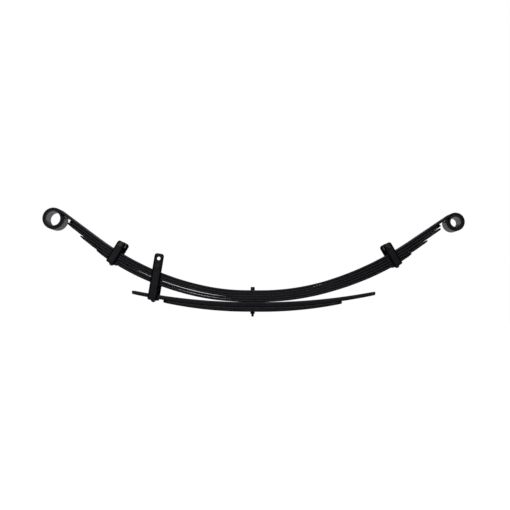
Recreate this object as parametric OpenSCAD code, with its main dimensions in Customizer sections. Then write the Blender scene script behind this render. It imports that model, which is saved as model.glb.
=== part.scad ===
/* [Leaf pack] */
// width of every leaf
leaf_width = 60; // [50:1:75]
// thickness of each of the five main leaves
leaf_thickness = 7; // [6:0.5:8]
// thickness of each overload leaf at the centre bolt
overload_thickness = 14.5; // [12:0.5:16]
// half length of the flat axle seat, each way from the centre bolt
seat_half = 20; // [16:1:26]

/* [Front half] */
// radius of the main leaf next to the seat
front_inner_radius = 604; // [580:1:700]
// distance along the leaf where the inner radius ends
front_inner_end = 140; // [130:1:160]
// radius of the main leaf further out
front_outer_radius = 833; // [800:1:950]
// distance along the leaf where the eye arm becomes straight
front_curve_end = 500; // [490:1:510]
// distance along the leaf to the front eye
front_eye_at = 636; // [632:1:645]

/* [Rear half] */
// radius of the main leaf next to the seat
rear_inner_radius = 675; // [640:1:740]
// distance along the leaf where the inner radius ends
rear_inner_end = 220; // [200:1:230]
// radius of the main leaf further out
rear_outer_radius = 934; // [880:1:990]
// distance along the leaf where the eye arm becomes straight
rear_curve_end = 500; // [490:1:510]
// distance along the leaf to the rear eye
rear_eye_at = 643; // [638:1:650]

/* [Leaf ends] */
// cut back of the trimmed corners on the leaf ends
corner_cut = 14; // [8:1:16]
// length over which the thinned leaf ends lose their thickness
end_taper = 50; // [30:1:60]

/* [Eyes] */
// outer radius of the rolled front eye
front_eye_radius = 32.5; // [31:0.5:33.5]
// outer radius of the rolled rear eye
rear_eye_radius = 27.6; // [26:0.1:28.5]
// gap between the end of the roll and the leaf above it
roll_gap = 1.5; // [1:0.1:2.5]
// inner diameter of the sleeve pressed into the front eye
front_sleeve_bore = 42; // [38:0.5:44]
// inner diameter of the sleeve pressed into the rear eye
rear_sleeve_bore = 30; // [28:0.5:34]

/* [Overload leaves] */
// radius of the upper face of the upper overload leaf
overload_top_radius = 1800; // [1700:10:2000]
// radius of the face where the two overload leaves meet
overload_mid_radius = 1600; // [1500:10:1700]
// radius of the lower face of the lower overload leaf
overload_low_radius = 1190; // [1150:10:1300]
// distance from the centre bolt to the front end of the upper overload leaf
overload_front_reach = 362; // [350:1:370]
// distance from the centre bolt to the rear end of the upper overload leaf
overload_rear_reach = 368; // [350:1:375]
// distance from the centre bolt to each end of the lower overload leaf
lower_overload_reach = 267; // [250:1:280]

/* [Flexing] */
// distance along the main leaves to the point each arm flexes about
main_flex_at = 190; // [180:1:200]
// distance along the overload leaves to the point each arm flexes about
overload_flex_at = 125; // [115:1:135]
// gap between the seat part and the arm part of one leaf
flex_gap = 0.4; // [0.3:0.1:0.8]

/* [Centre bolt] */
// thread diameter of the centre bolt
centre_bolt_d = 8; // [8:1:10]
// diameter of the round head that locates the axle pad
centre_head_d = 12.5; // [12:0.5:16]
// height of that head
centre_head_h = 10; // [8:0.5:12]
// depth of the spot faces under the head and the nut
spot_depth = 0.3; // [0.2:0.1:1]

/* [Clips] */
// distance along the main leaf to the front rebound clip
front_clip_at = 424; // [410:1:435]
// distance along the main leaf to the rear rebound clip
rear_clip_at = 432; // [420:1:440]
// distance along the upper overload leaf to the guide clip
guide_clip_at = 296; // [285:1:310]
// width of the strap of the rebound clips
strap_width = 26; // [22:1:30]
// width of the strap of the guide clip
guide_width = 28; // [24:1:32]
// thickness of all clip straps
strap_thickness = 5.5; // [4:0.5:6]
// play between a leaf and the strap on each side
strap_play = 1; // [0.8:0.1:2]
// how far the rebound clips stand above the main leaf
clip_rise = 31.5; // [28:0.5:34]
// corner radius at the top of the clip legs
leg_corner = 8; // [4:0.5:12]
// how far the long leg of the guide clip stands above the overload leaf
guide_rise = 122; // [116:1:126]
// how far the short leg of the guide clip stands above the overload leaf
guide_short_rise = 52; // [40:1:56]
// thread diameter of the clip bolts
clip_bolt_d = 8; // [6:1:8]
// outer diameter of the spacer sleeves
spacer_d = 15.5; // [13:0.5:16]
// diameter of the open hole near the top of the guide clip
guide_hole_d = 10.5; // [9:0.5:13]

/* [Hidden] */
$fn = 96;
station = 10;
roll_steps = 104;
pi = 3.14159265;
main_stack = 5 * leaf_thickness;
pack_stack = main_stack + 2 * overload_thickness;
over_joint = -main_stack - overload_thickness;
main_flex_r = 20;
over_flex_r = 17;
over_mid = overload_thickness - 0.8;
seat_reach = main_flex_at - 4;
over_seat_reach = overload_flex_at - 4;
// distance along the pack to the ends of the second to fifth leaves, front and rear
leaf_ends = [[594, 596, 543, 479], [603, 598, 545, 484]];
// thickness lost at those ends
leaf_thin = [[0, 1.5, 3.5, 4], [0, 2, 3, 3.5]];
// opening under the first to fourth leaves, front and rear, as [distance, opening] pairs
openings = [
  [[[160, 0], [280, 0.25], [600, 0.5]],
   [[160, 0], [280, 0.25], [440, 0.4], [590, 1.2]],
   [[60, 0], [160, 1.1], [340, 1.9], [400, 1.2], [500, 1.4], [540, 2.8]],
   [[60, 0], [160, 0.8], [270, 0.9], [400, 0.3], [480, 0.3]]],
  [[[160, 0], [240, 0.3], [300, 0.6], [350, 0.8]],
   [[160, 0], [240, 0.3], [300, 0.6], [350, 0.8], [450, 0.9], [500, 1.2], [560, 2], [600, 3.2]],
   [[160, 0], [240, 0.3], [300, 0.6], [350, 0.8], [450, 1], [500, 1.6], [540, 2.6]],
   [[160, 0], [240, 0.3], [300, 0.6], [350, 0.8]]]
];
hole_fit = 0.6;
press = 0.05;
hex_af = 13;
hex_d = hex_af / cos(30);
head_h = 5.3;
nut_h = 6.8;
bolt_rise = clip_rise - 11;
guide_bolt_rise = guide_rise - 39;
guide_hole_rise = guide_rise - 15;
guide_drop = 12.6;
strap_face = leaf_width / 2 + strap_play + strap_thickness;
spot_d = centre_head_d + 2.5;
nut_spot_d = hex_d + 1;
black = [0.09, 0.09, 0.10];
zinc = [0.45, 0.43, 0.36];

// side is -1 for the front half and 1 for the rear half
function inner_r(side) = side < 0 ? front_inner_radius : rear_inner_radius;
function outer_r(side) = side < 0 ? front_outer_radius : rear_outer_radius;
function inner_end(side) = side < 0 ? front_inner_end : rear_inner_end;
function curve_end(side) = side < 0 ? front_curve_end : rear_curve_end;
function deg(r) = r * 180 / pi;
function inner_turn(side, s) = deg((s - seat_half) / inner_r(side));
function turn_1(side) = inner_turn(side, inner_end(side));
function outer_turn(side, s) = turn_1(side) + deg((s - inner_end(side)) / outer_r(side));
function turn_2(side) = outer_turn(side, curve_end(side));
// slope of the main leaf at distance s along its upper face
function slope(side, s) =
  s < seat_half ? 0
  : s < inner_end(side) ? inner_turn(side, s)
  : s < curve_end(side) ? outer_turn(side, s) : turn_2(side);
// centre of the inner arc and of the outer arc
function hub_1(side) = [seat_half, inner_r(side)];
function hub_2(side) =
  hub_1(side) + (inner_r(side) - outer_r(side)) * [sin(turn_1(side)), -cos(turn_1(side))];
function curve_tip(side) = hub_2(side) + outer_r(side) * [sin(turn_2(side)), -cos(turn_2(side))];
// point on the upper face of the main leaf at distance s along it
function spot(side, s) =
  s < seat_half ? [s, 0]
  : s < inner_end(side)
    ? hub_1(side) + inner_r(side) * [sin(inner_turn(side, s)), -cos(inner_turn(side, s))]
  : s < curve_end(side)
    ? hub_2(side) + outer_r(side) * [sin(outer_turn(side, s)), -cos(outer_turn(side, s))]
  : curve_tip(side) + (s - curve_end(side)) * [cos(turn_2(side)), sin(turn_2(side))];
// slope of the upper overload face, and the point on it, at distance s along it
function over_slope(s) = s < seat_half ? 0 : deg((s - seat_half) / overload_top_radius);
function over_spot(s) =
  [seat_half + overload_top_radius * sin(over_slope(s)),
   -main_stack + overload_top_radius * (1 - cos(over_slope(s)))];

// how far the openings have pushed leaf k off the main leaf, k from 0, at distance s
function opened(side, k, s) =
  k == 0 ? 0 : opened(side, k - 1, s) + lookup(s, openings[side < 0 ? 0 : 1][k - 1]);
function depth(side, k, s) = k * leaf_thickness + opened(side, k, s);
function clip_at(side) = side < 0 ? front_clip_at : rear_clip_at;
// depth of the underside of the fifth leaf at the rebound clip
function clip_drop(side) = depth(side, 4, clip_at(side)) + leaf_thickness;

module half(side) {
  mirror([side < 0 ? 1 : 0, 0, 0]) children();
}

// local frame on the main leaf: x runs out along it, z is up from its face
module on_main(side, s) {
  half(side)
    translate([spot(side, s)[0], 0, spot(side, s)[1]])
      rotate([0, -slope(side, s), 0]) children();
}

module on_overload(side, s) {
  half(side)
    translate([over_spot(s)[0], 0, over_spot(s)[1]])
      rotate([0, -over_slope(s), 0]) children();
}

module across(d, length) {
  rotate([90, 0, 0]) cylinder(d = d, h = length, center = true);
}

// stations along a leaf from a to b, on a common grid so that neighbouring leaves match
function stations(a, b) =
  concat([a], [for (s = [ceil((a + 1) / station) * station : station : b - 1]) s], [b]);
function below(side, s, d) = spot(side, s) + d * [sin(slope(side, s)), -cos(slope(side, s))];
// upper face of leaf k, and its underside, which rises by thin at the tip
function top_face(side, k, list) = [for (s = list) below(side, s, depth(side, k, s))];
function underside(side, k, list, tip, thin) =
  [for (s = list)
    below(side, s, depth(side, k, s) + leaf_thickness - lookup(s, [[tip - end_taper, 0], [tip, thin]]))];
function flipped(v) = [for (i = [len(v) - 1 : -1 : 0]) v[i]];
function mirrored(v) = [for (p = flipped(v)) [-p[0], p[1]]];

// a side view outline given the width of a leaf
module bar(outline) {
  rotate([90, 0, 0]) linear_extrude(leaf_width, center = true) polygon(outline);
}

// the part of space outside the flex cylinder, on the seat side of it
module seat_side(r) {
  difference() {
    translate([-3 * r, -leaf_width, -3 * r]) cube([3 * r, 2 * leaf_width, 6 * r]);
    across(2 * r, 4 * leaf_width);
  }
}

module corner_trims(tip_z) {
  for (y = [-1, 1])
    translate([0, y * leaf_width / 2, tip_z])
      rotate([0, 0, 45])
        cube([corner_cut * sqrt(2), corner_cut * sqrt(2), 4 * overload_thickness], center = true);
}

module leaf_centre(k) {
  list = stations(seat_half, seat_reach);
  far = 2 * main_flex_at;
  difference() {
    bar(concat(mirrored(top_face(-1, k, list)), top_face(1, k, list),
      flipped(underside(1, k, list, far, 0)), flipped(mirrored(underside(-1, k, list, far, 0)))));
    cylinder(d = centre_bolt_d + hole_fit, h = 4 * pack_stack, center = true);
    if (k == 0) translate([0, 0, -spot_depth]) cylinder(d = spot_d, h = leaf_thickness);
    for (side = [-1, 1])
      on_main(side, main_flex_at)
        translate([0, 0, -main_stack / 2]) across(2 * (main_flex_r + flex_gap), 2 * leaf_width);
  }
}

// a leaf arm with trimmed corners, its end thinned from below
module plain_arm(side, k) {
  tip = leaf_ends[side < 0 ? 0 : 1][k - 1];
  thin = leaf_thin[side < 0 ? 0 : 1][k - 1];
  list = stations(main_flex_at - main_flex_r - 1, tip);
  difference() {
    half(side) bar(concat(top_face(side, k, list), flipped(underside(side, k, list, tip, thin))));
    on_main(side, main_flex_at) translate([0, 0, -main_stack / 2]) seat_side(main_flex_r);
    on_main(side, tip) corner_trims(-depth(side, k, tip));
    if (k == 4)
      on_main(side, clip_at(side))
        translate([0, 0, -clip_drop(side)]) cylinder(d = clip_bolt_d, h = 3 * leaf_thickness, center = true);
  }
}

// a main leaf arm that ends in an eye rolled down and back under itself
module eye_arm(side) {
  r = side < 0 ? front_eye_radius : rear_eye_radius;
  s = side < 0 ? front_eye_at : rear_eye_at;
  wrap = 360 - acos(1 - (leaf_thickness + roll_gap) / r);
  lean = slope(side, s);
  hub = below(side, s, r);
  list = stations(main_flex_at - main_flex_r - 1, s);
  turns = [for (i = [1 : roll_steps]) i * wrap / roll_steps];
  outer = [for (b = turns) hub + r * [sin(b - lean), cos(b - lean)]];
  inner = [for (b = flipped(turns)) hub + (r - leaf_thickness) * [sin(b - lean), cos(b - lean)]];
  difference() {
    half(side)
      bar(concat(top_face(side, 0, list), outer, inner, flipped(underside(side, 0, list, 2 * s, 0))));
    on_main(side, main_flex_at) translate([0, 0, -main_stack / 2]) seat_side(main_flex_r);
  }
}

module eye_sleeve(side) {
  r = side < 0 ? front_eye_radius : rear_eye_radius;
  s = side < 0 ? front_eye_at : rear_eye_at;
  bore = side < 0 ? front_sleeve_bore : rear_sleeve_bore;
  on_main(side, s)
    translate([0, 0, -r])
      difference() {
        across(2 * (r - leaf_thickness + press), leaf_width);
        across(bore, 2 * leaf_width);
      }
}

// one face of the overload leaves, level at height z on the seat and of radius r beyond it
function over_edge(z, r, list) = [for (x = list) [x, z + r - sqrt(r * r - pow(x - seat_half, 2))]];

module over_centre(z0, r0, z1, r1) {
  list = stations(seat_half, over_seat_reach);
  difference() {
    bar(concat(mirrored(over_edge(z0, r0, list)), over_edge(z0, r0, list),
      flipped(over_edge(z1, r1, list)), flipped(mirrored(over_edge(z1, r1, list)))));
    cylinder(d = centre_bolt_d + hole_fit, h = 4 * pack_stack, center = true);
    translate([0, 0, -pack_stack - spot_depth]) cylinder(d = nut_spot_d, h = 2 * spot_depth);
    for (side = [-1, 1])
      on_overload(side, overload_flex_at)
        translate([0, 0, -over_mid]) across(2 * (over_flex_r + flex_gap), 2 * leaf_width);
  }
}

module over_arm(side, z0, r0, z1, r1, reach) {
  list = stations(overload_flex_at - over_flex_r - 1, reach + 5);
  difference() {
    half(side) bar(concat(over_edge(z0, r0, list), flipped(over_edge(z1, r1, list))));
    on_overload(side, overload_flex_at) translate([0, 0, -over_mid]) seat_side(over_flex_r);
    on_overload(side, reach) {
      translate([0, -leaf_width, -2 * pack_stack]) cube([pack_stack, 2 * leaf_width, 3 * pack_stack]);
      corner_trims(-overload_thickness);
    }
  }
}

module upper_arm(side) {
  reach = side < 0 ? overload_front_reach : overload_rear_reach;
  difference() {
    over_arm(side, -main_stack, overload_top_radius, over_joint, overload_mid_radius, reach);
    if (side < 0)
      on_overload(side, guide_clip_at) cylinder(d = clip_bolt_d, h = 4 * overload_thickness, center = true);
  }
}

// side view of one leg of a strap, with its two upper corners rounded
function leg_corner_arc(x, z, start) =
  [for (i = [0 : 12]) [x, z] + leg_corner * [cos(start + 7.5 * i), sin(start + 7.5 * i)]];
function leg_outline(w, low, rise) =
  concat([[-w, low], [w, low]], leg_corner_arc(w - leg_corner, rise - leg_corner, 0),
    leg_corner_arc(leg_corner - w, rise - leg_corner, 90));

// a bent strap: bottom plate at z = -drop, legs up to the two rises
module strap(width, drop, near_rise, far_rise) {
  inside = leaf_width / 2 + strap_play;
  bend = 1;
  foot = -drop;
  translate([-width / 2, -inside + bend, foot - strap_thickness])
    cube([width, 2 * (inside - bend), strap_thickness]);
  for (y = [-1, 1]) {
    rise = y < 0 ? near_rise : far_rise;
    translate([0, y * (inside - bend), foot + bend])
      rotate([0, 90, 0])
        rotate([0, 0, y < 0 ? -90 : 0])
          translate([0, 0, -width / 2])
            rotate_extrude(angle = 90)
              translate([bend, 0]) square([strap_thickness, width]);
    translate([0, y < 0 ? -inside : inside + strap_thickness, 0])
      rotate([90, 0, 0])
        linear_extrude(strap_thickness) polygon(leg_outline(width / 2, foot + bend, rise));
  }
}

module rebound_strap(side) {
  on_main(side, clip_at(side))
    difference() {
      strap(strap_width, clip_drop(side), clip_rise, clip_rise);
      translate([0, 0, bolt_rise]) across(clip_bolt_d + hole_fit, 4 * leaf_width);
      translate([0, 0, -clip_drop(side)]) cylinder(d = clip_bolt_d, h = 4 * strap_thickness, center = true);
    }
}

// a rivet standing on the underside of a strap, head down
module rivet(drop, grip) {
  dome = 6;
  base = 15;
  ball = (base * base / 4 + dome * dome) / (2 * dome);
  translate([0, 0, -drop - strap_thickness]) {
    cylinder(d = clip_bolt_d + 2 * press, h = grip + strap_thickness);
    difference() {
      translate([0, 0, -dome + ball]) sphere(r = ball);
      translate([-ball, -ball, 0]) cube([2 * ball, 2 * ball, 3 * ball]);
    }
  }
}

module rebound_rivet(side) {
  on_main(side, clip_at(side)) rivet(clip_drop(side), leaf_thickness - 0.3);
}

// a hex bolt across the strap, head on the near side
module hex_bolt(head_face, shank) {
  translate([0, -head_face, 0])
    rotate([90, 0, 0]) {
      translate([0, 0, -shank]) cylinder(d = clip_bolt_d, h = shank + 1);
      cylinder(d = hex_d, h = head_h, $fn = 6);
    }
}

module hex_nut(face) {
  translate([0, face, 0])
    rotate([-90, 0, 0])
      difference() {
        cylinder(d = hex_d, h = nut_h, $fn = 6);
        cylinder(d = clip_bolt_d + 2 * press, h = 4 * nut_h, center = true);
      }
}

module rebound_hardware(side) {
  on_main(side, clip_at(side)) translate([0, 0, bolt_rise]) children();
}

module rebound_bolt(side) {
  rebound_hardware(side) hex_bolt(strap_face, 2 * strap_face + nut_h + 2.5);
}

module rebound_nut(side) {
  rebound_hardware(side) hex_nut(strap_face);
}

module rebound_spacer(side) {
  rebound_hardware(side)
    difference() {
      across(spacer_d, leaf_width + 2 * strap_play);
      across(clip_bolt_d + hole_fit, 2 * leaf_width);
    }
}

module main_leaf_centre() { color(black) leaf_centre(0); }
module main_leaf_front() { color(black) eye_arm(-1); }
module main_leaf_rear() { color(black) eye_arm(1); }
module second_leaf_centre() { color(black) leaf_centre(1); }
module second_leaf_front() { color(black) plain_arm(-1, 1); }
module second_leaf_rear() { color(black) plain_arm(1, 1); }
module third_leaf_centre() { color(black) leaf_centre(2); }
module third_leaf_front() { color(black) plain_arm(-1, 2); }
module third_leaf_rear() { color(black) plain_arm(1, 2); }
module fourth_leaf_centre() { color(black) leaf_centre(3); }
module fourth_leaf_front() { color(black) plain_arm(-1, 3); }
module fourth_leaf_rear() { color(black) plain_arm(1, 3); }
module fifth_leaf_centre() { color(black) leaf_centre(4); }
module fifth_leaf_front() { color(black) plain_arm(-1, 4); }
module fifth_leaf_rear() { color(black) plain_arm(1, 4); }

module lower_arm(side) {
  over_arm(side, over_joint, overload_mid_radius, -pack_stack, overload_low_radius, lower_overload_reach);
}

module upper_overload_centre() {
  color(black) over_centre(-main_stack, overload_top_radius, over_joint, overload_mid_radius);
}
module upper_overload_front() { color(black) upper_arm(-1); }
module upper_overload_rear() { color(black) upper_arm(1); }
module lower_overload_centre() {
  color(black) over_centre(over_joint, overload_mid_radius, -pack_stack, overload_low_radius);
}
module lower_overload_front() { color(black) lower_arm(-1); }
module lower_overload_rear() { color(black) lower_arm(1); }

module centre_bolt() {
  color(black) {
    translate([0, 0, -spot_depth]) cylinder(d = centre_head_d, h = centre_head_h - 1 + spot_depth);
    translate([0, 0, centre_head_h - 1])
      cylinder(d1 = centre_head_d, d2 = centre_head_d - 2, h = 1);
    translate([0, 0, -pack_stack - 14.5]) cylinder(d = centre_bolt_d, h = pack_stack + 15);
  }
}
module centre_nut() {
  color(black) translate([0, 0, spot_depth - pack_stack - 7])
    difference() {
      cylinder(d = hex_d, h = 7, $fn = 6);
      cylinder(d = centre_bolt_d + 2 * press, h = 30, center = true);
    }
}
module front_eye_sleeve() { color([0.3, 0.3, 0.31]) eye_sleeve(-1); }
module rear_eye_sleeve() { color([0.3, 0.3, 0.31]) eye_sleeve(1); }

module front_clip_strap() { color(black) rebound_strap(-1); }
module front_clip_rivet() { color(black) rebound_rivet(-1); }
module front_clip_bolt() { color(zinc) rebound_bolt(-1); }
module front_clip_nut() { color(zinc) rebound_nut(-1); }
module front_clip_spacer() { color(zinc) rebound_spacer(-1); }
module rear_clip_strap() { color(black) rebound_strap(1); }
module rear_clip_rivet() { color(black) rebound_rivet(1); }
module rear_clip_bolt() { color(zinc) rebound_bolt(1); }
module rear_clip_nut() { color(zinc) rebound_nut(1); }
module rear_clip_spacer() { color(zinc) rebound_spacer(1); }

module guide_clip_strap() {
  color(black) on_overload(-1, guide_clip_at)
    difference() {
      strap(guide_width, guide_drop, guide_rise, guide_short_rise);
      translate([0, -strap_face, guide_hole_rise]) across(guide_hole_d, 4 * strap_thickness);
      translate([0, -strap_face, guide_bolt_rise]) across(clip_bolt_d + hole_fit, 4 * strap_thickness);
      translate([0, 0, -guide_drop]) cylinder(d = clip_bolt_d, h = 4 * strap_thickness, center = true);
    }
}
module guide_clip_rivet() {
  color(black) on_overload(-1, guide_clip_at) rivet(guide_drop, guide_drop - 0.4);
}
module guide_clip_bolt() {
  color(black) on_overload(-1, guide_clip_at)
    translate([0, 0, guide_bolt_rise]) hex_bolt(strap_face, strap_thickness + nut_h + 2);
}
module guide_clip_nut() {
  color(black) on_overload(-1, guide_clip_at)
    translate([0, 0, guide_bolt_rise]) hex_nut(-strap_face + strap_thickness);
}

main_leaf_centre();
main_leaf_front();
main_leaf_rear();
second_leaf_centre();
second_leaf_front();
second_leaf_rear();
third_leaf_centre();
third_leaf_front();
third_leaf_rear();
fourth_leaf_centre();
fourth_leaf_front();
fourth_leaf_rear();
fifth_leaf_centre();
fifth_leaf_front();
fifth_leaf_rear();
upper_overload_centre();
upper_overload_front();
upper_overload_rear();
lower_overload_centre();
lower_overload_front();
lower_overload_rear();
centre_bolt();
centre_nut();
front_eye_sleeve();
rear_eye_sleeve();
front_clip_strap();
front_clip_rivet();
front_clip_bolt();
front_clip_nut();
front_clip_spacer();
rear_clip_strap();
rear_clip_rivet();
rear_clip_bolt();
rear_clip_nut();
rear_clip_spacer();
guide_clip_strap();
guide_clip_rivet();
guide_clip_bolt();
guide_clip_nut();
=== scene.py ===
import math
import bpy
import bmesh
from mathutils import Matrix, Vector


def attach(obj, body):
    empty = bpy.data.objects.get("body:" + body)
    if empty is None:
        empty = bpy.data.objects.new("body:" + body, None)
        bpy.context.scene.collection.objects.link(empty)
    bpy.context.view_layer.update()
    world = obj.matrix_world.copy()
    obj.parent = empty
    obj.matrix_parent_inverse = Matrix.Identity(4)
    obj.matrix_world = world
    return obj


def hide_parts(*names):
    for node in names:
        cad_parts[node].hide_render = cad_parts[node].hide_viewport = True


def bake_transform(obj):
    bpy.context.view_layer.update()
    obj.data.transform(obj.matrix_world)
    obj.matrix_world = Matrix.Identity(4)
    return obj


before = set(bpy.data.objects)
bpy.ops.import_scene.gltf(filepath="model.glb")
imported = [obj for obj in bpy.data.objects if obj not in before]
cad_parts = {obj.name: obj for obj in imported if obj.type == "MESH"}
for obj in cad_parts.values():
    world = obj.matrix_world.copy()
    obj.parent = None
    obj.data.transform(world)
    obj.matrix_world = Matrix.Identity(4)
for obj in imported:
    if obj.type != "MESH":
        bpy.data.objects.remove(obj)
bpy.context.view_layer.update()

# ---------- sizes, in millimetres; tables by side: -1 is the front half, 1 the rear half ----------

MM = 0.001
END = {-1: "front", 1: "rear"}
W = 60.0            # leaf width
T = 7.0             # main leaf thickness
TO = 14.5           # overload leaf thickness at the centre
SEAT = 20.0         # half length of the flat seat
STACK = 5 * T       # the five main leaves
PACK = STACK + 2 * TO   # all seven leaves
EDGE_R = 2.3        # edge radius of the main leaves
OVER_EDGE_R = 3.4   # edge radius of the overload leaves
CORNER_CUT = 14.0   # trimmed corners of the leaf ends
STEP = 6            # length of leaf between two mesh rings
EDGE_STEPS = 4      # faces round one edge of a leaf
PRESS_FIT = 0.05    # the CAD's sleeves are this much larger in radius than the eyes
# radius near the seat, distance where it ends, radius further out, distance where it ends
SHAPE = {-1: (604.0, 140.0, 833.0, 500.0), 1: (675.0, 220.0, 934.0, 500.0)}
# distance of the eye along the leaf, outer radius of its roll, bore diameter of its sleeve
EYE = {-1: (636.0, 32.5, 42.0), 1: (643.0, 27.6, 30.0)}
ROLL_GAP = 1.5      # between the end of the roll and the leaf above it
ROLL_STEPS = 88     # mesh rings round the roll
# ends of the second to fifth leaves, and the thickness lost there over TAPER
TIPS = {-1: (594, 596, 543, 479), 1: (603, 598, 545, 484)}
THIN = {-1: (0, 1.5, 3.5, 4), 1: (0, 2, 3, 3.5)}
TAPER = 50.0
# opening under the first to fourth leaves: (distance, opening) pairs
OPEN = {
    -1: (((160, 0), (280, 0.25), (600, 0.5)),
         ((160, 0), (280, 0.25), (440, 0.4), (590, 1.2)),
         ((60, 0), (160, 1.1), (340, 1.9), (400, 1.2), (500, 1.4), (540, 2.8)),
         ((60, 0), (160, 0.8), (270, 0.9), (400, 0.3), (480, 0.3))),
    1: (((160, 0), (240, 0.3), (300, 0.6), (350, 0.8)),
        ((160, 0), (240, 0.3), (300, 0.6), (350, 0.8), (450, 0.9), (500, 1.2), (560, 2), (600, 3.2)),
        ((160, 0), (240, 0.3), (300, 0.6), (350, 0.8), (450, 1), (500, 1.6), (540, 2.6)),
        ((160, 0), (240, 0.3), (300, 0.6), (350, 0.8)))}
# radii of the overload leaves' upper, middle and lower faces, and the reach of each leaf
OVER_R = (1800.0, 1600.0, 1190.0)
OVER_REACH = {-1: 362.0, 1: 368.0}
LOW_REACH = 267.0

STRAP = 5.5         # clip strap thickness
PLAY = 1            # between a leaf and a clip leg
BEND_IN = 1         # inner radius of a strap's bends
LEG_Y = W / 2 + PLAY + STRAP / 2    # middle of a clip leg
FACE = W / 2 + PLAY + STRAP         # outer face of a clip leg
LEG_CORNER = 8.0    # corner radius at the top of the clip legs
LEG_END = 1.6       # length of leg over which its end is rounded
LEG_RINGS = (0.0, 0.35, 0.9, 1.6, 2.5, 3.6, 4.8, 6.0, 7.2, 8.6, 10.2, 12.0, 15.0)
ROLLED = 6.5        # width of the rolled edge along a strap's outer face
SHADE_FADE = 4.0     # width over which the painted shade and duller gloss come in there
CLIP_WIDTH = 26.0
CLIP_AT = {-1: 424.0, 1: 432.0}
CLIP_RISE = 31.5    # height of the rebound clips' legs above the main leaf
BOLT_RISE = CLIP_RISE - 11
GUIDE_WIDTH = 28.0
GUIDE_AT = 296.0
GUIDE_DROP = 12.6   # thickness of the overload leaf at the guide clip
GUIDE_LONG = 122.0  # heights of the guide clip's legs above the overload leaf
GUIDE_SHORT = 52.0
GUIDE_BOLT_RISE = GUIDE_LONG - 39
BOLT_HOLE = 8.6
OPEN_HOLE = 10.5
OPEN_HOLE_RISE = GUIDE_LONG - 15

BOLT_R = 4.0        # M8
SHANK_R = 3.95
THREAD_PITCH = 1.25
THREAD_DEPTH = 0.62
HEX = 13            # across the flats
HEAD_H = 5.3
NUT_H = 6.8
CENTRE_NUT_H = 7.0
SPACER = (7.75, 4.3)    # outer and inner radius
RIVET_R = 4.05      # with the CAD's press fit
BUTTON_R = 7.5      # rivet head
BUTTON_H = 6.0

NEAR = Matrix.Rotation(math.radians(90), 4, "X")      # local +z to -y
FAR = Matrix.Rotation(math.radians(-90), 4, "X")      # local +z to +y


# ---------- the shape of the leaves, as the CAD has it ----------

def slope(side, s):
    """Slope of the main leaf s mm along it, in radians."""
    r1, e1, r2, e2 = SHAPE[side]
    if s < SEAT:
        return 0.0
    if s < e1:
        return (s - SEAT) / r1
    return (e1 - SEAT) / r1 + (min(s, e2) - e1) / r2


def spot(side, s):
    """Point (x, z) on the main leaf's upper face, x growing outwards."""
    r1, e1, r2, e2 = SHAPE[side]
    if s < SEAT:
        return s, 0.0
    a = slope(side, s)
    if s < e1:
        return SEAT + r1 * math.sin(a), r1 * (1 - math.cos(a))
    b = (e1 - SEAT) / r1
    hx, hz = SEAT + (r1 - r2) * math.sin(b), r1 - (r1 - r2) * math.cos(b)
    x, z = hx + r2 * math.sin(a), hz - r2 * math.cos(a)
    past = max(0.0, s - e2)
    return x + past * math.cos(a), z + past * math.sin(a)


def lookup(table, s):
    """Value at s between the (distance, value) pairs of a table."""
    if s <= table[0][0]:
        return table[0][1]
    for (a, va), (b, vb) in zip(table, table[1:]):
        if s <= b:
            return va + (vb - va) * (s - a) / (b - a)
    return table[-1][1]


def depth(side, k, s):
    """Depth of leaf k's upper face below the main leaf's."""
    return k * T + sum(lookup(t, s) for t in OPEN[side][:k])


def over_slope(s):
    """Slope of the upper overload leaf s mm along it, in radians."""
    return 0.0 if s < SEAT else (s - SEAT) / OVER_R[0]


def over_spot(s):
    """Point (x, z) on the upper overload leaf's upper face."""
    a = over_slope(s)
    if s < SEAT:
        return s, -STACK
    return SEAT + OVER_R[0] * math.sin(a), -STACK + OVER_R[0] * (1 - math.cos(a))


def over_z(level, radius, x):
    """Height at x of an overload face that leaves the seat at level."""
    if x < SEAT:
        return level
    return level + radius - math.sqrt(radius * radius - (x - SEAT) ** 2)


def frame_at(side, x, z, a):
    """Local frame: x outwards along the leaf, y across it, z up from its face."""
    out = Vector((side * math.cos(a), 0, math.sin(a)))
    up = Vector((-side * math.sin(a), 0, math.cos(a)))
    m = Matrix.Identity(4)
    m.col[0][:3], m.col[1][:3], m.col[2][:3] = out, (0, 1, 0), up
    m.col[3][:3] = (side * x * MM, 0, z * MM)
    return m


def on_main(side, s):
    """Local frame on the main leaf's upper face."""
    x, z = spot(side, s)
    return frame_at(side, x, z, slope(side, s))


def on_overload(side, s):
    """Local frame on the upper overload leaf's upper face."""
    x, z = over_spot(s)
    return frame_at(side, x, z, over_slope(s))


def at_mm(x, y, z):
    return Matrix.Translation((x * MM, y * MM, z * MM))


# ---------- mesh helpers ----------

def new_object(name, verts, faces, matrix=None, smooth=35):
    """A mesh object with its matrix applied, shaded smooth up to that many degrees."""
    mesh = bpy.data.meshes.new(name)
    mesh.from_pydata(verts, [], faces)
    bm = bmesh.new()
    bm.from_mesh(mesh)
    bmesh.ops.remove_doubles(bm, verts=bm.verts, dist=1e-6)
    bmesh.ops.recalc_face_normals(bm, faces=bm.faces)
    if matrix is not None:
        bm.transform(matrix)
        if matrix.to_3x3().determinant() < 0:
            bmesh.ops.reverse_faces(bm, faces=bm.faces)
    bm.to_mesh(mesh)
    bm.free()
    obj = bpy.data.objects.new(name, mesh)
    bpy.context.scene.collection.objects.link(obj)
    shade(obj, smooth)
    return obj


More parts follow.
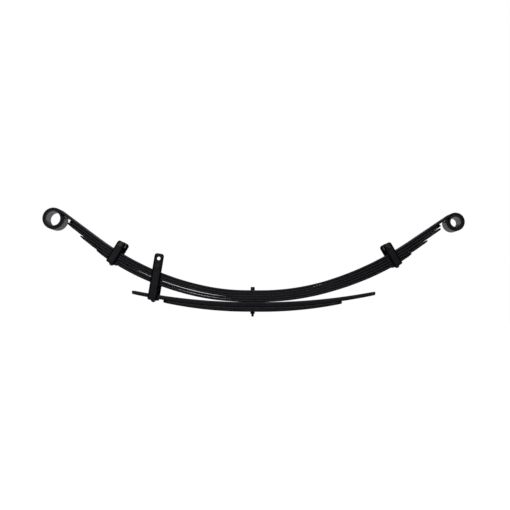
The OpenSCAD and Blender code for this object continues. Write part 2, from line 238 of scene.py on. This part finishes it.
def shade(obj, angle=35):
    """Smooth shading that breaks at sharper edges, weighted to the large faces."""
    bm = bmesh.new()
    bm.from_mesh(obj.data)
    limit = math.radians(angle)
    for f in bm.faces:
        f.smooth = True
    for e in bm.edges:
        e.smooth = len(e.link_faces) == 2 and e.calc_face_angle(0) < limit
    bm.to_mesh(obj.data)
    bm.free()
    m = obj.modifiers.new("weights", "WEIGHTED_NORMAL")
    m.keep_sharp = True
    m.weight = 50


def loft(rings):
    """Verts and faces of a closed skin over rings of equal length."""
    n = len(rings[0])
    verts = [v for r in rings for v in r]
    faces = []
    for i in range(len(rings) - 1):
        for j in range(n):
            k = (j + 1) % n
            faces.append((i * n + j, i * n + k, (i + 1) * n + k, (i + 1) * n + j))
    faces.append(tuple(range(n)))
    faces.append(tuple(range(len(verts) - n, len(verts))))
    return verts, faces


def section(half_w, z0, z1, r):
    """Closed outline (y, z) of a bar from z0 down to z1 with rounded edges of radius r."""
    r = min(r, (z0 - z1) * 0.495, half_w * 0.8)
    pts = []
    for cy, cz, a0 in ((half_w - r, z0 - r, 90), (half_w - r, z1 + r, 0),
                       (-half_w + r, z1 + r, -90), (-half_w + r, z0 - r, -180)):
        for i in range(EDGE_STEPS + 1):
            a = math.radians(a0 - 90 * i / EDGE_STEPS)
            pts.append((cy + r * math.cos(a), cz + r * math.sin(a)))
    return pts


def turned(loops, closed):
    """Verts and faces of loops about z, each with one (radius, height) point to an angle."""
    verts, faces = [], []
    seg, n = len(loops[0]), len(loops)
    for loop in loops:
        for j, (r, h) in enumerate(loop):
            a = 2 * math.pi * j / seg
            verts.append((r * math.cos(a), r * math.sin(a), h))
    for i in range(n if closed else n - 1):
        k = (i + 1) % n
        for j in range(seg):
            m = (j + 1) % seg
            faces.append((i * seg + j, i * seg + m, k * seg + m, k * seg + j))
    return verts, faces


def lathe(profile, seg, closed=False):
    """Verts and faces of (radius, height) points turned about z, capped unless closed."""
    verts, faces = turned([[p] * seg for p in profile], closed)
    if not closed:
        faces.append(tuple(range(seg)))
        faces.append(tuple(range(len(verts) - seg, len(verts))))
    return verts, faces


def join(parts):
    """One part of several, each as verts and faces."""
    verts, faces = [], []
    for v, f in parts:
        n = len(verts)
        verts += v
        faces += [tuple(i + n for i in p) for p in f]
    return verts, faces


def moved(part, dz):
    return [(x, y, z + dz) for x, y, z in part[0]], part[1]


def scaled(verts):
    return [(x * MM, y * MM, z * MM) for x, y, z in verts]


def cut(obj, cutters):
    """Subtracts the cutters and removes them."""
    for c in cutters:
        m = obj.modifiers.new("cut", "BOOLEAN")
        m.operation, m.solver, m.object = "DIFFERENCE", "EXACT", c
    graph = bpy.context.evaluated_depsgraph_get()
    mesh = bpy.data.meshes.new_from_object(obj.evaluated_get(graph))
    obj.modifiers.clear()
    obj.data = mesh
    for c in cutters:
        bpy.data.objects.remove(c)


# ---------- materials ----------

def ramp(nodes, links, source, stops):
    """Colour of source over (position, colour) stops."""
    n = nodes.new("ShaderNodeValToRGB")
    n.color_ramp.elements[0].position = stops[0][0]
    n.color_ramp.elements[0].color = stops[0][1]
    n.color_ramp.elements[1].position = stops[-1][0]
    n.color_ramp.elements[1].color = stops[-1][1]
    for pos, col in stops[1:-1]:
        n.color_ramp.elements.new(pos).color = col
    links.new(source, n.inputs["Fac"])
    return n.outputs["Color"]


def grey(v):
    return (v, v, v, 1)


def noise(nodes, links, coords, scale, detail, rough):
    n = nodes.new("ShaderNodeTexNoise")
    n.inputs["Scale"].default_value = scale
    n.inputs["Detail"].default_value = detail
    n.inputs["Roughness"].default_value = rough
    links.new(coords, n.inputs["Vector"])
    return n.outputs["Fac"]


def mixed(nodes, links, factor, a, b):
    """Colour a, or b where factor is 1."""
    n = nodes.new("ShaderNodeMix")
    n.data_type = "RGBA"
    links.new(factor, n.inputs[0])
    links.new(a, n.inputs[6])
    n.inputs[7].default_value = b
    return n.outputs[2]


def bumped(nodes, links, height, strength, distance):
    n = nodes.new("ShaderNodeBump")
    n.inputs["Strength"].default_value = strength
    n.inputs["Distance"].default_value = distance
    links.new(height, n.inputs["Height"])
    return n


def paint(name, dark, light, rough, peel=0.05, metallic=0.0, shade_and_matt=0.0):
    """Paint or plated steel: mottled colour, uneven gloss and a fine skin.
    Its last argument is how far it darkens, as painted shade, and loses its gloss where the mesh is
    marked as an edge."""
    mat = bpy.data.materials.new(name)
    mat.use_nodes = True
    nodes, links = mat.node_tree.nodes, mat.node_tree.links
    bsdf = nodes["Principled BSDF"]
    co = nodes.new("ShaderNodeTexCoord").outputs["Object"]
    cloud = noise(nodes, links, co, scale=14, detail=6, rough=0.6)
    fine = noise(nodes, links, co, scale=420, detail=3, rough=0.6)
    mix = nodes.new("ShaderNodeMath")
    mix.operation = "MULTIPLY_ADD"
    mix.inputs[1].default_value = 0.35
    links.new(fine, mix.inputs[0])
    links.new(cloud, mix.inputs[2])
    tone = ramp(nodes, links, mix.outputs[0], [(0.45, dark), (0.9, light)])
    streak = noise(nodes, links, co, scale=60, detail=5, rough=0.7)
    lo, hi = rough
    gloss = ramp(nodes, links, streak, [(0.3, grey(lo)), (0.7, grey(hi))])
    if shade_and_matt:
        mark = nodes.new("ShaderNodeAttribute")
        mark.attribute_name = "edge"
        edge = mark.outputs["Fac"]
        # painted shade: the marked edges are darkened almost to black
        tone = mixed(nodes, links, ramp(nodes, links, edge, [(0, grey(0)), (1, grey(shade_and_matt))]),
                     tone, grey(0.001))
        matt = nodes.new("ShaderNodeMath")
        matt.operation = "MAXIMUM"
        links.new(gloss, matt.inputs[0])
        links.new(ramp(nodes, links, edge, [(0, grey(0)), (1, grey(0.9 * shade_and_matt))]), matt.inputs[1])
        gloss = matt.outputs[0]
        links.new(ramp(nodes, links, edge, [(0, grey(0.5)), (1, grey(0.5 - 0.5 * shade_and_matt))]),
                  bsdf.inputs["Specular IOR Level"])
    links.new(tone, bsdf.inputs["Base Color"])
    links.new(gloss, bsdf.inputs["Roughness"])
    bsdf.inputs["Metallic"].default_value = metallic
    skin = bumped(nodes, links, noise(nodes, links, co, scale=700, detail=2, rough=0.5),
                  strength=peel, distance=0.0006)
    waves = bumped(nodes, links, noise(nodes, links, co, scale=45, detail=3, rough=0.5),
                   strength=peel * 2.2, distance=0.004)
    links.new(skin.outputs["Normal"], waves.inputs["Normal"])
    links.new(waves.outputs["Normal"], bsdf.inputs["Normal"])
    return mat


LEAF = paint("leaf_paint", (0.0078, 0.0078, 0.0125, 1), (0.0160, 0.0160, 0.0250, 1),
             (0.30, 0.46), 0.06)
OVER = paint("overload_paint", (0.0086, 0.0080, 0.0130, 1), (0.0185, 0.0172, 0.0275, 1),
             (0.34, 0.52), 0.08)
# the clip straps get painted shade, near black, along their marked rolled edges
CLIP = paint("clip_paint", (0.0094, 0.0090, 0.0145, 1), (0.0210, 0.0202, 0.0315, 1),
             (0.28, 0.42), shade_and_matt=0.8)
BOLT = paint("clip_bolt_finish", (0.036, 0.034, 0.025, 1), (0.160, 0.150, 0.110, 1),
             (0.26, 0.46), metallic=0.8)
GUIDE_BOLT = paint("guide_bolt_finish", (0.020, 0.014, 0.010, 1), (0.12, 0.075, 0.045, 1),
                   (0.30, 0.50), metallic=0.4)
CENTRE = paint("centre_bolt_paint", (0.010, 0.010, 0.012, 1), (0.022, 0.022, 0.024, 1),
               (0.30, 0.45))
SLEEVE = paint("sleeve_finish", (0.029, 0.029, 0.030, 1), (0.068, 0.068, 0.070, 1),
               (0.26, 0.40), 0.04, metallic=0.3)


def dress(obj, mat, slot, body, *nodes):
    """Gives a piece its material, hides the nodes it replaces and attaches it to the body it rides
    on; slot is not used.
    """
    obj.data.materials.clear()
    obj.data.materials.append(mat)
    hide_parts(*nodes)
    if body:
        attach(obj, body)


def put(node, part, matrix, mat, slot, body, smooth=35):
    """The detailed piece that replaces one node, from a part in millimetres."""
    o = new_object(node + "_detail", scaled(part[0]), part[1], matrix, smooth)
    dress(o, mat, slot, body, node)


# ---------- leaves ----------

def end_half_width(t):
    """Half width t mm before the tip, with the corners trimmed."""
    return W / 2 if t >= CORNER_CUT else W / 2 - (CORNER_CUT - t)


def drawn_in(t, reach, amount):
    """How far the faces draw in t mm before the tip, which is rounded over reach."""
    return max(0.0, 1.0 - math.sqrt(max(0.0, 1 - (1 - min(t, reach) / reach) ** 2))) * amount


def ring_at(side, x, z, a, half_w, d0, d1):
    """Section of a main leaf from depth d0 to d1 under (x, z), at slope a."""
    out = []
    for y, h in section(half_w, -d0, -d1, EDGE_R):
        out.append((side * (x - h * math.sin(a)) * MM, y * MM, (z + h * math.cos(a)) * MM))
    return out


def stations(a, b, step):
    """Even places from a to b, about step apart."""
    n = max(1, int(round((b - a) / step)))
    return [a + (b - a) * i / n for i in range(n + 1)]


# distances before a tip where the mesh has a ring
TIP_RINGS = (50, 44, 38, 32, 26, 20, 16, 14.6, 14, 13.4, 11, 8, 5, 3, 1.6, 0.7, 0.2, 0.0)
OVER_TIP_RINGS = (20, 16, 14.8, 14, 13.2, 11, 8, 5.5, 3.6, 2.2, 1.2, 0.5, 0.1, 0.0)


def eyed_leaf(side):
    """Half of the main leaf, with its eye."""
    rings = []
    at, radius, _ = EYE[side]
    for s in [0.0] + stations(SEAT, at, STEP):
        x, z = spot(side, s)
        rings.append(ring_at(side, x, z, slope(side, s), W / 2, 0.0, T))
    a0 = slope(side, at)
    x, z = spot(side, at)
    cx, cz = x + radius * math.sin(a0), z - radius * math.cos(a0)      # centre of the eye
    wrap = 360 - math.degrees(math.acos(1 - (T + ROLL_GAP) / radius))
    turns = [wrap * i / ROLL_STEPS for i in range(1, ROLL_STEPS)]
    turns += [wrap - 1.2, wrap - 0.4, wrap]
    for i, turn in enumerate(turns):
        b = math.radians(turn) - a0
        px, pz = cx + radius * math.sin(b), cz + radius * math.cos(b)
        shrink = (0, 0, 0.35, 1.0)[max(0, i - len(turns) + 4)]     # rounds the end of the roll
        rings.append(ring_at(side, px, pz, -b, W / 2 - shrink, shrink, T - shrink))
    return loft(rings)


def plain_leaf(side, k):
    """Half of the second to fifth main leaf, for k from 1 to 4."""
    tip = TIPS[side][k - 1]
    rings = []
    for s in [0.0] + stations(SEAT, tip - 54, STEP) + [tip - t for t in TIP_RINGS]:
        t = tip - s
        thin = THIN[side][k - 1] * max(0.0, 1 - t / TAPER)
        d0 = depth(side, k, s)
        soft = drawn_in(t, 1.6, 1.5)
        x, z = spot(side, s)
        rings.append(ring_at(side, x, z, slope(side, s), end_half_width(t) - soft,
                             d0 + soft, d0 + T - thin - soft))
    return loft(rings)


def overload_leaf(side, upper):
    """Half of an overload leaf."""
    top, low = (0, 1) if upper else (1, 2)
    level = (-STACK, -STACK - TO, -PACK)
    end_x = over_spot(OVER_REACH[side] if upper else LOW_REACH)[0]
    rings = []
    for x in [0.0] + stations(SEAT, end_x - 26, STEP) + [end_x - t for t in OVER_TIP_RINGS]:
        t = end_x - x
        soft = drawn_in(t, 3.0, 2.6)
        z0 = over_z(level[top], OVER_R[top], x) - soft
        z1 = over_z(level[low], OVER_R[low], x) + soft
        outline = section(end_half_width(t) - soft, z0, z1, OVER_EDGE_R)
        rings.append([(side * x * MM, y * MM, z * MM) for y, z in outline])
    return loft(rings)


# each half leaf is one piece, curved from near the seat to well out along its arm
MAIN = ("main_leaf", "second_leaf", "third_leaf", "fourth_leaf", "fifth_leaf")
for side in (-1, 1):
    for k, leaf in enumerate(MAIN):
        v, f = plain_leaf(side, k) if k else eyed_leaf(side)
        o = new_object(leaf + "_" + END[side] + "_half", v, f)
        dress(o, LEAF, "leaf_paint", None, leaf + "_centre", leaf + "_" + END[side])
        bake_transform(o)
    for leaf, upper in (("upper_overload", True), ("lower_overload", False)):
        v, f = overload_leaf(side, upper)
        o = new_object(leaf + "_" + END[side] + "_half", v, f)
        dress(o, OVER, "leaf_paint", None, leaf + "_centre", leaf + "_" + END[side])
        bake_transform(o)


# ---------- eye sleeves ----------

def tube(outer, inner, length, bevel):
    """A tube along z with bevelled ends."""
    h, c = length / 2, bevel
    upper = [(outer, h - c), (outer - c * 0.35, h - c * 0.3), (outer - c, h),
             (inner + c, h), (inner + c * 0.3, h - c * 0.35), (inner, h - c)]
    return lathe(upper + [(r, -z) for r, z in reversed(upper)], seg=96, closed=True)


for side in (-1, 1):
    at, radius, bore = EYE[side]
    put(END[side] + "_eye_sleeve", tube(radius - T + PRESS_FIT, bore / 2, W, bevel=1.0),
        on_main(side, at) @ at_mm(0, 0, -radius) @ NEAR,
        SLEEVE, "eye_sleeve", END[side] + "_main_arm", smooth=50)


# ---------- threads, nuts, bolts and rivets (local z along the axis) ----------

def thread(length):
    """M8 thread from z 0 down, with a chamfered lower end."""
    seg = 40
    n = int(length / THREAD_PITCH * 8)      # eight rings to a turn
    rings = []
    for i in range(n + 1):
        z = length * i / n
        chamfer = 0.7 * max(0.0, 1.0 - (length - z))
        ring = []
        for j in range(seg):
            a = 2 * math.pi * j / seg
            tooth = 1 - abs(2 * ((z / THREAD_PITCH - j / seg) % 1.0) - 1)
            r = BOLT_R - THREAD_DEPTH * (1 - tooth) - chamfer
            ring.append((r * math.cos(a), -r * math.sin(a), -z))
        rings.append(ring)
    return loft(rings)


def shank(z0, z1):
    return lathe([(SHANK_R, z0), (SHANK_R, z1)], seg=40)


def hexagon(height, bore=None):
    """A hex nut with turned chamfers; without a bore, a bolt head with a dished top."""
    seg = 60
    rim = [HEX / 2 / math.cos((2 * math.pi * j / seg + math.pi / 6) % (math.pi / 3) - math.pi / 6)
           for j in range(seg)]
    face = HEX / 2 * 0.965      # radius of the turned end faces
    fall = [(r - face) * math.tan(math.radians(30)) for r in rim]
    lead = 0.7                  # chamfer of the bore
    sharp, dish = 0.25, 0.12    # edge under the head, and depth of its top
    if bore:
        low = [[(bore, lead)] * seg, [(bore + lead, 0.0)] * seg, [(face, 0.0)] * seg,
               list(zip(rim, fall))]
        inside = [[(bore + lead, height)] * seg, [(bore, height - lead)] * seg]
    else:
        low = [[(0.001, 0.0)] * seg, [(r - sharp, 0.0) for r in rim], [(r, sharp) for r in rim]]
        inside = [[(face * 0.55, height - dish)] * seg, [(0.001, height - dish)] * seg]
    top = [[(r, height - z) for r, z in zip(rim, fall)], [(face, height)] * seg]
    return turned(low + top + inside, closed=bore is not None)


def hex_bolt(length, grip):
    """Head from z 0 up, shank down: plain for grip, then threaded."""
    return join([hexagon(HEAD_H), shank(-grip - 0.3, 0.2), moved(thread(length - grip), -grip)])


def rivet(drop, grip):
    """Button head below the strap, shank up through strap and leaf; z 0 is the leaf's face."""
    z = -drop - STRAP
    profile = [(RIVET_R, z + STRAP + grip), (RIVET_R, z), (BUTTON_R, z)]
    ball = (BUTTON_R ** 2 + BUTTON_H ** 2) / (2 * BUTTON_H)
    for i in range(1, 12):
        r = BUTTON_R * math.cos(math.radians(90 * i / 12))
        profile.append((r, z - (math.sqrt(ball ** 2 - r ** 2) - (ball - BUTTON_H))))
    profile.append((0.3, z - BUTTON_H))
    return lathe(profile, seg=48)


# centre bolt: round head up, thread and nut down
round_head = lathe([(6.25, 0), (6.25, 8.8), (6.05, 9.35), (5.55, 9.8), (5.0, 10.0),
                    (2.2, 10.0), (1.6, 9.7)], seg=56)
put("centre_bolt", join([round_head, shank(-PACK + 12, 0.5), moved(thread(26), -PACK + 11.5)]),
    None, CENTRE, "centre_bolt", "seat")
put("centre_nut", moved(hexagon(CENTRE_NUT_H, BOLT_R), -PACK - 6.7),
    None, CENTRE, "centre_bolt", "seat")


# ---------- clip straps ----------

def strap_section(hw, outer, inner):
    """Flat bar with broad rolled edges on its outer face."""
    rise = min(2.9, (outer - inner) * 0.55)
    run = min(ROLLED, hw * 0.6)
    right = []
    for a in (0, 20, 40, 58, 74, 84, 90):
        right.append((hw - run * (1 - math.sin(math.radians(a))),
                      outer - rise * (1 - math.cos(math.radians(a)))))
    right += [(hw, inner + 0.6), (hw - 0.2, inner + 0.2), (hw - 0.6, inner)]
    return right + [(-u, h) for u, h in reversed(right)]


def strap(width, drop, near, far):
    """U-shaped strap as one bent bar: up the near leg, under the leaf, up the far leg."""
    foot = -drop - STRAP / 2
    bend = BEND_IN + STRAP / 2

    def half_width(t):
        corner = max(0.0, LEG_CORNER - t)
        return width / 2 - LEG_CORNER + math.sqrt(max(0.0, LEG_CORNER ** 2 - corner ** 2))

    def turn(y, start):
        """Places round the bend about y, from the start angle on."""
        out = []
        for i in range(1, 6):
            a = start + 90 * i / 5
            out.append((y + bend * math.cos(math.radians(a)),
                        foot + bend + bend * math.sin(math.radians(a)), a, math.inf))
        return out

    # (y, z, angle of the outward normal, distance from the end of the leg)
    path = [(-LEG_Y, near - t, 180, t) for t in LEG_RINGS]
    path += [(-LEG_Y, z, 180, near - z) for z in stations(near - 18, foot + bend, 12)]
    path += turn(-LEG_Y + bend, 180)
    path += [(y, foot, 270, math.inf) for y in stations(-LEG_Y + bend, LEG_Y - bend, 12)[1:]]
    path += turn(LEG_Y - bend, 270)
    path += [(LEG_Y, z, 360, far - z) for z in stations(foot + bend, far - 18, 12)[1:]]
    path += [(LEG_Y, far - t, 360, t) for t in reversed(LEG_RINGS)]
    rings = []
    for y, z, a, t in path:
        ca, sa = math.cos(math.radians(a)), math.sin(math.radians(a))
        edge = (1.0 - min(t, LEG_END) / LEG_END) * 1.1
        outline = strap_section(half_width(t), STRAP / 2 - edge, -STRAP / 2 + edge)
        rings.append([(u, y + h * ca, z + h * sa) for u, h in outline])
    return loft(rings)


def hole_cutter(d, y, z, matrix):
    """A drilled hole through a leg, with small chamfers where it breaks out."""
    r, h, c = d / 2, STRAP / 2, 0.6
    v, f = lathe([(r + c + 2, -h - 2), (r, -h + c), (r, h - c), (r + c + 2, h + 2)], seg=48)
    return new_object("hole", scaled(v), f, matrix @ at_mm(0, y, z) @ NEAR)


def mark_edges(obj, matrix, half_w):
    """Marks the rolled edges of a strap, for the painted shade and duller gloss there."""
    local = matrix.inverted()
    layer = obj.data.attributes.new("edge", "FLOAT", "POINT")
    for v, item in zip(obj.data.vertices, layer.data):
        inside = abs((local @ v.co).x) / MM - (half_w - ROLLED)
        item.value = max(0.0, min(1.0, inside / SHADE_FADE))


def put_strap(node, width, drop, legs, holes, matrix, body):
    """A clip strap with legs of two heights and (diameter, y, z) holes."""
    v, f = strap(width, drop, *legs)
    o = new_object(node + "_detail", scaled(v), f, matrix)
    cut(o, [hole_cutter(d, y, z, matrix) for d, y, z in holes])
    shade(o)
    mark_edges(o, matrix, width / 2)
    dress(o, CLIP, "clip_paint", body, node)


for side in (-1, 1):
    clip, body = END[side] + "_clip", END[side] + "_main_arm"
    base = on_main(side, CLIP_AT[side])
    drop = depth(side, 4, CLIP_AT[side]) + T
    put_strap(clip + "_strap", CLIP_WIDTH, drop, (CLIP_RISE, CLIP_RISE),
              [(BOLT_HOLE, y, BOLT_RISE) for y in (-LEG_Y, LEG_Y)], base, body)
    put(clip + "_rivet", rivet(drop, T - 0.3), base, CLIP, "clip_paint", body)
    put(clip + "_bolt", hex_bolt(2 * FACE + 9.3, 2 * FACE - 6),
        base @ at_mm(0, -FACE, BOLT_RISE) @ NEAR, BOLT, "clip_bolts", body)
    put(clip + "_nut", hexagon(NUT_H, BOLT_R),
        base @ at_mm(0, FACE, BOLT_RISE) @ FAR, BOLT, "clip_bolts", body)
    put(clip + "_spacer", tube(*SPACER, W + 2 * PLAY, bevel=0.8),
        base @ at_mm(0, 0, BOLT_RISE) @ NEAR, BOLT, "clip_bolts", body, smooth=50)

base, body = on_overload(-1, GUIDE_AT), "front_overload_arm"
put_strap("guide_clip_strap", GUIDE_WIDTH, GUIDE_DROP, (GUIDE_LONG, GUIDE_SHORT),
          [(OPEN_HOLE, -LEG_Y, OPEN_HOLE_RISE), (BOLT_HOLE, -LEG_Y, GUIDE_BOLT_RISE)], base, body)
put("guide_clip_rivet", rivet(GUIDE_DROP, GUIDE_DROP - 0.4), base, CLIP, "clip_paint", body)
put("guide_clip_bolt", hex_bolt(STRAP + 8.8, 1.0),
    base @ at_mm(0, -FACE, GUIDE_BOLT_RISE) @ NEAR, GUIDE_BOLT, "clip_paint", body)
put("guide_clip_nut", hexagon(NUT_H, BOLT_R),
    base @ at_mm(0, -FACE + STRAP, GUIDE_BOLT_RISE) @ FAR, GUIDE_BOLT, "clip_paint", body)


# ---------- floor, world, lights and camera ----------

def flat_material(name, colour, glow):
    """A matt white that also glows."""
    mat = bpy.data.materials.new(name)
    mat.use_nodes = True
    b = mat.node_tree.nodes["Principled BSDF"]
    b.inputs["Base Color"].default_value = colour
    b.inputs["Roughness"].default_value = 0.9
    b.inputs["Emission Color"].default_value = (1, 1, 1, 1)
    b.inputs["Emission Strength"].default_value = glow
    return mat


bpy.ops.mesh.primitive_plane_add(size=16, location=(0, 0, -0.30))
floor = bpy.context.object
floor.name = "studio_floor"
floor.data.materials.append(flat_material("floor_white", (0.85, 0.85, 0.85, 1), 0.97))
for ray_kind in ("diffuse", "glossy", "transmission"):
    setattr(floor, "visible_" + ray_kind, False)

world = bpy.data.worlds.new("studio")
bpy.context.scene.world = world
world.use_nodes = True
wn, wl = world.node_tree.nodes, world.node_tree.links
wn.clear()
out = wn.new("ShaderNodeOutputWorld")
pick = wn.new("ShaderNodeMixShader")
ray = wn.new("ShaderNodeLightPath")
seen = wn.new("ShaderNodeBackground")
seen.inputs["Color"].default_value = (1, 1, 1, 1)
seen.inputs["Strength"].default_value = 1.0
lit = wn.new("ShaderNodeBackground")
lit.inputs["Color"].default_value = (0.94, 0.94, 1.0, 1)
lit.inputs["Strength"].default_value = 0.08
wl.new(ray.outputs["Is Camera Ray"], pick.inputs["Fac"])
wl.new(lit.outputs[0], pick.inputs[1])
wl.new(seen.outputs[0], pick.inputs[2])
wl.new(pick.outputs[0], out.inputs["Surface"])


def area(name, loc, target, power, width, height):
    """An area light at loc that faces target; metres and watts."""
    light = bpy.data.lights.new(name, "AREA")
    light.shape = "RECTANGLE"
    light.size = width
    light.size_y = height
    light.energy = power
    light.color = (0.97, 0.97, 1.0)
    o = bpy.data.objects.new(name, light)
    o.location = loc
    o.rotation_euler = (Vector(target) - Vector(loc)).to_track_quat("-Z", "Y").to_euler()
    bpy.context.scene.collection.objects.link(o)


area("top_softbox", (0.0, -0.9, 2.0), (0, 0, 0.1), 10, 2.6, 1.2)
area("front_softbox", (-0.5, -3.2, 1.2), (0, 0, 0.05), 10, 2.6, 1.4)
area("low_bounce", (0.0, -1.6, -1.6), (0, 0, 0.1), 5, 2.6, 1.2)
area("back_panel", (0.0, 3.0, -0.3), (0, 0, 0.0), 17, 4.2, 2.6)
area("rear_rim", (1.7, 2.0, 1.3), (0.45, 0, 0.15), 4, 0.9, 0.9)
area("left_softbox", (-3.0, 1.6, 0.6), (0, 0, 0.05), 7, 1.6, 1.6)
area("right_softbox", (3.0, 1.6, 0.6), (0, 0, 0.05), 7, 1.6, 1.6)

# the photograph's view
cam_data = bpy.data.cameras.new("camera")
cam_data.sensor_width = 36.0
cam_data.lens = 56.96
cam_data.clip_start, cam_data.clip_end = 0.05, 60
cam = bpy.data.objects.new("camera", cam_data)
bpy.context.scene.collection.objects.link(cam)
cam.location = (0.0062, -2.420, -0.0319)
cam.rotation_mode = "QUATERNION"
pitch, roll = math.radians(3.26), math.radians(0.37)
aim = Matrix.Rotation(math.radians(90) + pitch, 4, "X") @ Matrix.Rotation(roll, 4, "Z")
cam.rotation_quaternion = aim.to_quaternion()
bpy.context.scene.camera = cam
bpy.context.scene.view_settings.view_transform = "Standard"
